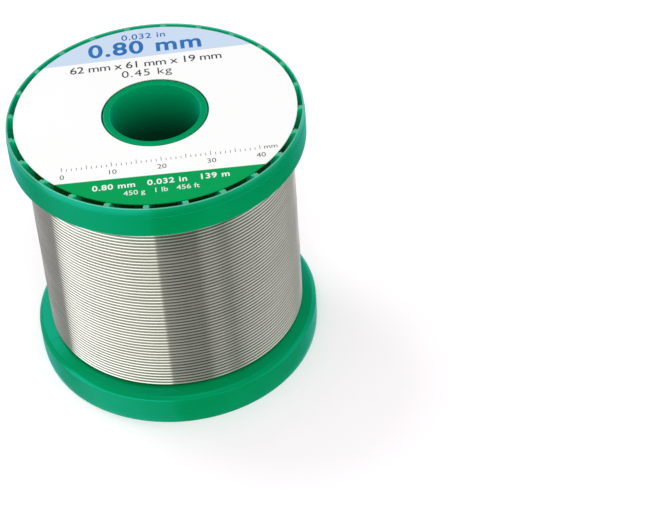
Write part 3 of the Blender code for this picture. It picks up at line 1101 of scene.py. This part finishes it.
class SPOOL_OT_tape(bpy.types.Operator):
    """Lay the tape over the wire's free end"""

    bl_idname = "spool.tape"
    bl_label = "Tape"

    def execute(self, context):
        settings, wire = settings_of("spool_tape"), settings_of("spool_wire")
        radius = WINDING_RADIUS + TAPE_GAP
        top = SPOOL_HEIGHT - FLANGE_THICKNESS - TAPE_INSET
        _, pitch = outer_turns(wire)
        columns, rows = 72, 48
        bm = bmesh.new()
        sheets = [[], []]
        for layer, grid in zip((0.0, TAPE_THICKNESS), sheets):
            for column in range(columns + 1):
                across = column / columns - 0.5
                angle = wire.end_angle + settings.length / radius * across
                lift = TAPE_LIFT * max(abs(across) * 2 - 0.93, 0.0) / 0.07
                line = []
                for row in range(rows + 1):
                    height = top - settings.width * row / rows
                    phase = math.tau * (height - FLANGE_THICKNESS) / pitch
                    sag = TAPE_SAG * (1.0 - math.cos(phase))
                    nick = TAPE_NICK * math.sin(row * 2.1) if column in (0, columns) else 0.0
                    spot = polar(radius + layer - sag + lift, angle + nick / radius, height)
                    line.append(bm.verts.new(spot))
                grid.append(line)
        inner, outer = sheets
        for grid in sheets:
            for line, following in zip(grid, grid[1:]):
                bridge(bm, line, following, closed=False)
        rim = [(0, row) for row in range(rows)] + [(column, rows) for column in range(columns)]
        rim += [(columns, row) for row in range(rows, 0, -1)]
        rim += [(column, 0) for column in range(columns, 0, -1)]
        bridge(bm, [inner[c][r] for c, r in rim], [outer[c][r] for c, r in rim])
        mesh = smooth(mesh_from("end_tape_strip", bm))
        add_piece("end_tape_strip", mesh, clear_film("tape_film", settings), "clear_tape",
                  "end_tape")
        return {"FINISHED"}


# --- Studio ---

CAMERA_PLACE = Vector((0.00101, -0.330469, 0.318458))
CAMERA_YAW, CAMERA_PITCH, CAMERA_ROLL = 0.10455, 0.74326, -0.04892
CAMERA_LENS = 108.545

# Brightness of the studio by direction, in degrees anticlockwise from +X, as the wire mirrors it
WALL_BANDS = [
    (0, (0.68, 0.675, 0.65)), (16, (0.54, 0.54, 0.52)), (22, (0.48, 0.475, 0.46)),
    (34, (0.50, 0.50, 0.49)), (44, (0.90, 0.90, 0.90)), (70, (0.80, 0.80, 0.80)),
    (85, (0.08, 0.08, 0.08)), (100, (0.10, 0.10, 0.10)), (106, (0.80, 0.80, 0.80)),
    (122, (0.80, 0.80, 0.80)), (131, (0.60, 0.59, 0.60)), (142, (0.49, 0.475, 0.485)),
    (155, (0.39, 0.385, 0.39)), (163, (0.32, 0.32, 0.32)), (169.7, (0.36, 0.36, 0.36)),
    (173.2, (1.40, 1.41, 1.39)), (190, (1.66, 1.67, 1.63)), (225, (1.64, 1.65, 1.57)),
    (246, (1.52, 1.54, 1.43)), (257.7, (1.42, 1.44, 1.31)), (259.2, (0.54, 0.54, 0.49)),
    (275, (0.36, 0.365, 0.33)), (289, (0.32, 0.325, 0.30)), (295, (0.57, 0.57, 0.53)),
    (303, (0.58, 0.58, 0.535)), (307, (0.48, 0.49, 0.45)), (313, (0.43, 0.44, 0.40)),
    (319, (0.60, 0.61, 0.56)), (328, (0.73, 0.74, 0.69)), (349, (0.76, 0.76, 0.72)),
]
FLOOR_BANDS = [
    (0, (0.25, 0.25, 0.24)), (20, (0.20, 0.20, 0.19)), (45, (0.60, 0.60, 0.60)),
    (70, (0.75, 0.75, 0.75)), (100, (0.55, 0.55, 0.55)), (118, (0.60, 0.60, 0.60)),
    (142, (0.55, 0.55, 0.55)), (158, (0.50, 0.50, 0.50)), (168, (0.85, 0.85, 0.84)),
    (176, (1.20, 1.20, 1.18)), (190, (1.48, 1.48, 1.43)), (206, (1.52, 1.53, 1.45)),
    (225, (1.34, 1.35, 1.27)), (243, (1.02, 1.03, 0.96)), (257.7, (0.70, 0.71, 0.64)),
    (259.2, (0.10, 0.10, 0.09)), (275, (0.04, 0.04, 0.035)), (290, (0.04, 0.04, 0.035)),
    (297, (0.07, 0.07, 0.06)), (303, (0.28, 0.28, 0.26)), (312, (0.22, 0.23, 0.20)),
    (320, (0.16, 0.17, 0.15)), (335, (0.22, 0.22, 0.21)),
]
BAND_PEAK = 2.0
ROOF = (0.22, 0.22, 0.21)
ZENITH = (0.50, 0.50, 0.48)
CARD = (1.20, 1.20, 1.20)


def studio_world(settings):
    """White to the camera, bright and dark bands to mirroring surfaces, and a plain soft sky."""
    world = bpy.data.worlds.new("studio")
    world.use_nodes = True
    world.cycles.sampling_method = "NONE"
    tree = world.node_tree
    tree.nodes.clear()
    graph = Graph(tree)
    direction = graph.add("ShaderNodeTexCoord").outputs["Generated"]
    x, y, z = graph.split(direction)
    share = (y.call("ARCTAN2", x) / math.tau + 1.0).call("FRACT")
    walls, ground = [graph.ramp(share, band_stops(bands)) for bands in (WALL_BANDS, FLOOR_BANDS)]
    dim = 1.0 - graph.step(z, -0.73, -0.69, 0.4, 0.68) * graph.step(z, -0.62, -0.56, 1.0, 0.0)
    ground = graph.shaded(ground, dim, dim, dim)
    ground = graph.mix(graph.step(z, -0.75, -0.69, 0.3, 0.0), ground, (0.42, 0.42, 0.40))
    radiance = graph.mix(graph.step(z, -0.56, -0.45), ground, walls)
    roof, zenith, card = [faded(tone, 1 / BAND_PEAK) for tone in (ROOF, ZENITH, CARD)]
    radiance = graph.mix(graph.step(z, 0.54, 0.64), radiance, roof)
    radiance = graph.mix(graph.step(z, 0.80, 0.88), radiance, zenith)
    beside = (0.0 - x) / (abs(y) + 0.001)
    on_card = graph.step(beside, 0.14, 0.2) * graph.step(beside, 0.7, 0.9, 1.0, 0.0) * (y > 0.0)
    on_card = on_card * graph.step(z, 0.40, 0.50) * graph.step(z, 0.71, 0.77, 1.0, 0.0)
    radiance = graph.mix(on_card, radiance, card)
    white = (1.0, 1.0, 1.0, 1.0)
    studio, sky, backdrop = [
        graph.made("ShaderNodeBackground", {"Color": colour, "Strength": strength})
        for colour, strength in ((radiance, BAND_PEAK), (white, settings.sky_level), (white, 1.0))]
    path = graph.add("ShaderNodeLightPath").outputs
    lit = graph.made("ShaderNodeMixShader", {0: path["Is Glossy Ray"], 1: sky, 2: studio})
    shown = graph.made("ShaderNodeMixShader", {0: path["Is Camera Ray"], 1: lit, 2: backdrop})
    graph.add("ShaderNodeOutputWorld", None, {0: shown})
    bpy.context.scene.world = world


def band_stops(bands):
    """Ramp stops of a ring of bands, scaled to the ramp's range and closed where it starts."""
    stops = [(angle / 360, faded(colour, 1 / BAND_PEAK)) for angle, colour in bands]
    return stops + [(1.0, stops[0][1])]


def floor_finish():
    """Matt white floor that the camera sees just at white, so that only shadow is darker."""
    finish, graph, shader, place = new_material("floor")
    tone = graph.noise(place, 30.0, 3.0)
    colour = graph.mix(tone * 0.3, (0.935, 0.89, 0.92), (0.905, 0.865, 0.89))
    path = graph.add("ShaderNodeLightPath").outputs
    lift = Value(graph, path["Is Camera Ray"]) * 0.24
    graph.fill(shader, {
        "Base Color": colour, "Roughness": 0.9, "Specular IOR Level": 0.0,
        "Emission Color": graph.join(lift, lift, lift), "Emission Strength": 1.0})
    clear = graph.made("ShaderNodeBsdfTransparent")
    mixed = graph.made("ShaderNodeMixShader", {
        0: path["Is Glossy Ray"], 1: shader.outputs[0], 2: clear})
    graph.fill(graph.tree.nodes["Material Output"], {"Surface": mixed})
    return finish


def area_light(name, place, size, power):
    """Large soft white lamp aimed at the spool. Its own shape isn't mirrored in the wire."""
    lamp = bpy.data.lights.new(name, "AREA")
    lamp.shape = "DISK"
    lamp.size = size
    lamp.energy = power
    holder = in_scene(name, lamp)
    holder.location = place
    aim = Vector((0.0, 0.0, SPOOL_HEIGHT / 2)) - Vector(place)
    holder.rotation_mode = "QUATERNION"
    holder.rotation_quaternion = aim.to_track_quat("-Z", "Y")
    holder.visible_glossy = False


def add_camera():
    """Camera at the photograph's place, with its lens and framing."""
    data = bpy.data.cameras.new("camera")
    data.sensor_width = 36.0
    data.sensor_fit = "HORIZONTAL"
    data.lens = CAMERA_LENS
    data.clip_start = 0.01
    data.clip_end = 50.0
    camera = in_scene("camera", data)
    turn = Matrix.Rotation(-CAMERA_YAW, 4, "Z")
    turn = turn @ Matrix.Rotation(math.pi / 2 - CAMERA_PITCH, 4, "X")
    turn = turn @ Matrix.Rotation(CAMERA_ROLL, 4, "Z")
    camera.matrix_world = Matrix.Translation(CAMERA_PLACE) @ turn
    bpy.context.scene.camera = camera


class SPOOL_OT_stage(bpy.types.Operator):
    """Build the floor, the lights, the surroundings and the camera"""

    bl_idname = "spool.stage"
    bl_label = "Stage"

    def execute(self, context):
        settings = settings_of("spool_stage")
        bm = bmesh.new()
        bmesh.ops.create_grid(bm, x_segments=1, y_segments=1, size=6.0)
        mesh = bpy.data.meshes.new("floor")
        bm.to_mesh(mesh)
        bm.free()
        mesh.materials.append(floor_finish())
        floor = in_scene("floor", mesh)
        area_light("key", (-0.265, 0.265, 0.65), 0.30, settings.key_power)
        area_light("front", (0.02, -0.49, 0.63), 0.40, settings.front_power)
        area_light("fill", (0.08, -0.74, 0.12), 0.30, settings.fill_power)
        studio_world(settings)
        add_camera()
        context.scene.view_settings.view_transform = "Standard"
        return {"FINISHED"}


class SPOOL_PT_panel(bpy.types.Panel):
    """The spool's settings and builders"""

    bl_idname = "SPOOL_PT_panel"
    bl_label = "Solder wire spool"
    bl_space_type = "VIEW_3D"
    bl_region_type = "UI"
    bl_category = "Spool"

    def draw(self, context):
        layout = self.layout
        for group, kind in SETTING_GROUPS:
            box = layout.box()
            box.label(text=group.replace("_", " ").capitalize())
            for name in kind.__annotations__:
                box.prop(getattr(context.scene, group), name)
        for operator in OPERATORS:
            layout.operator(operator.bl_idname)


SETTING_GROUPS = [
    ("spool_plastic", SpoolPlastic), ("spool_labels", SpoolLabels), ("spool_wire", SpoolWire),
    ("spool_tape", SpoolTape), ("spool_stage", SpoolStage),
]
OPERATORS = [
    SPOOL_OT_flanges, SPOOL_OT_hub, SPOOL_OT_labels, SPOOL_OT_printing, SPOOL_OT_wire,
    SPOOL_OT_wire_ends, SPOOL_OT_tape, SPOOL_OT_stage,
]
CLASSES = [kind for _, kind in SETTING_GROUPS] + OPERATORS + [SPOOL_PT_panel]


def register():
    for kind in CLASSES:
        bpy.utils.register_class(kind)
    for name, kind in SETTING_GROUPS:
        setattr(bpy.types.Scene, name, PointerProperty(type=kind))


def unregister():
    for name, _ in SETTING_GROUPS:
        delattr(bpy.types.Scene, name)
    for kind in reversed(CLASSES):
        bpy.utils.unregister_class(kind)


def main():
    register()
    bpy.ops.spool.flanges()
    bpy.ops.spool.hub()
    bpy.ops.spool.labels()
    bpy.ops.spool.printing()
    bpy.ops.spool.wire()
    bpy.ops.spool.wire_ends()
    bpy.ops.spool.tape()
    bpy.ops.spool.stage()


if __name__ == "__main__":
    main()
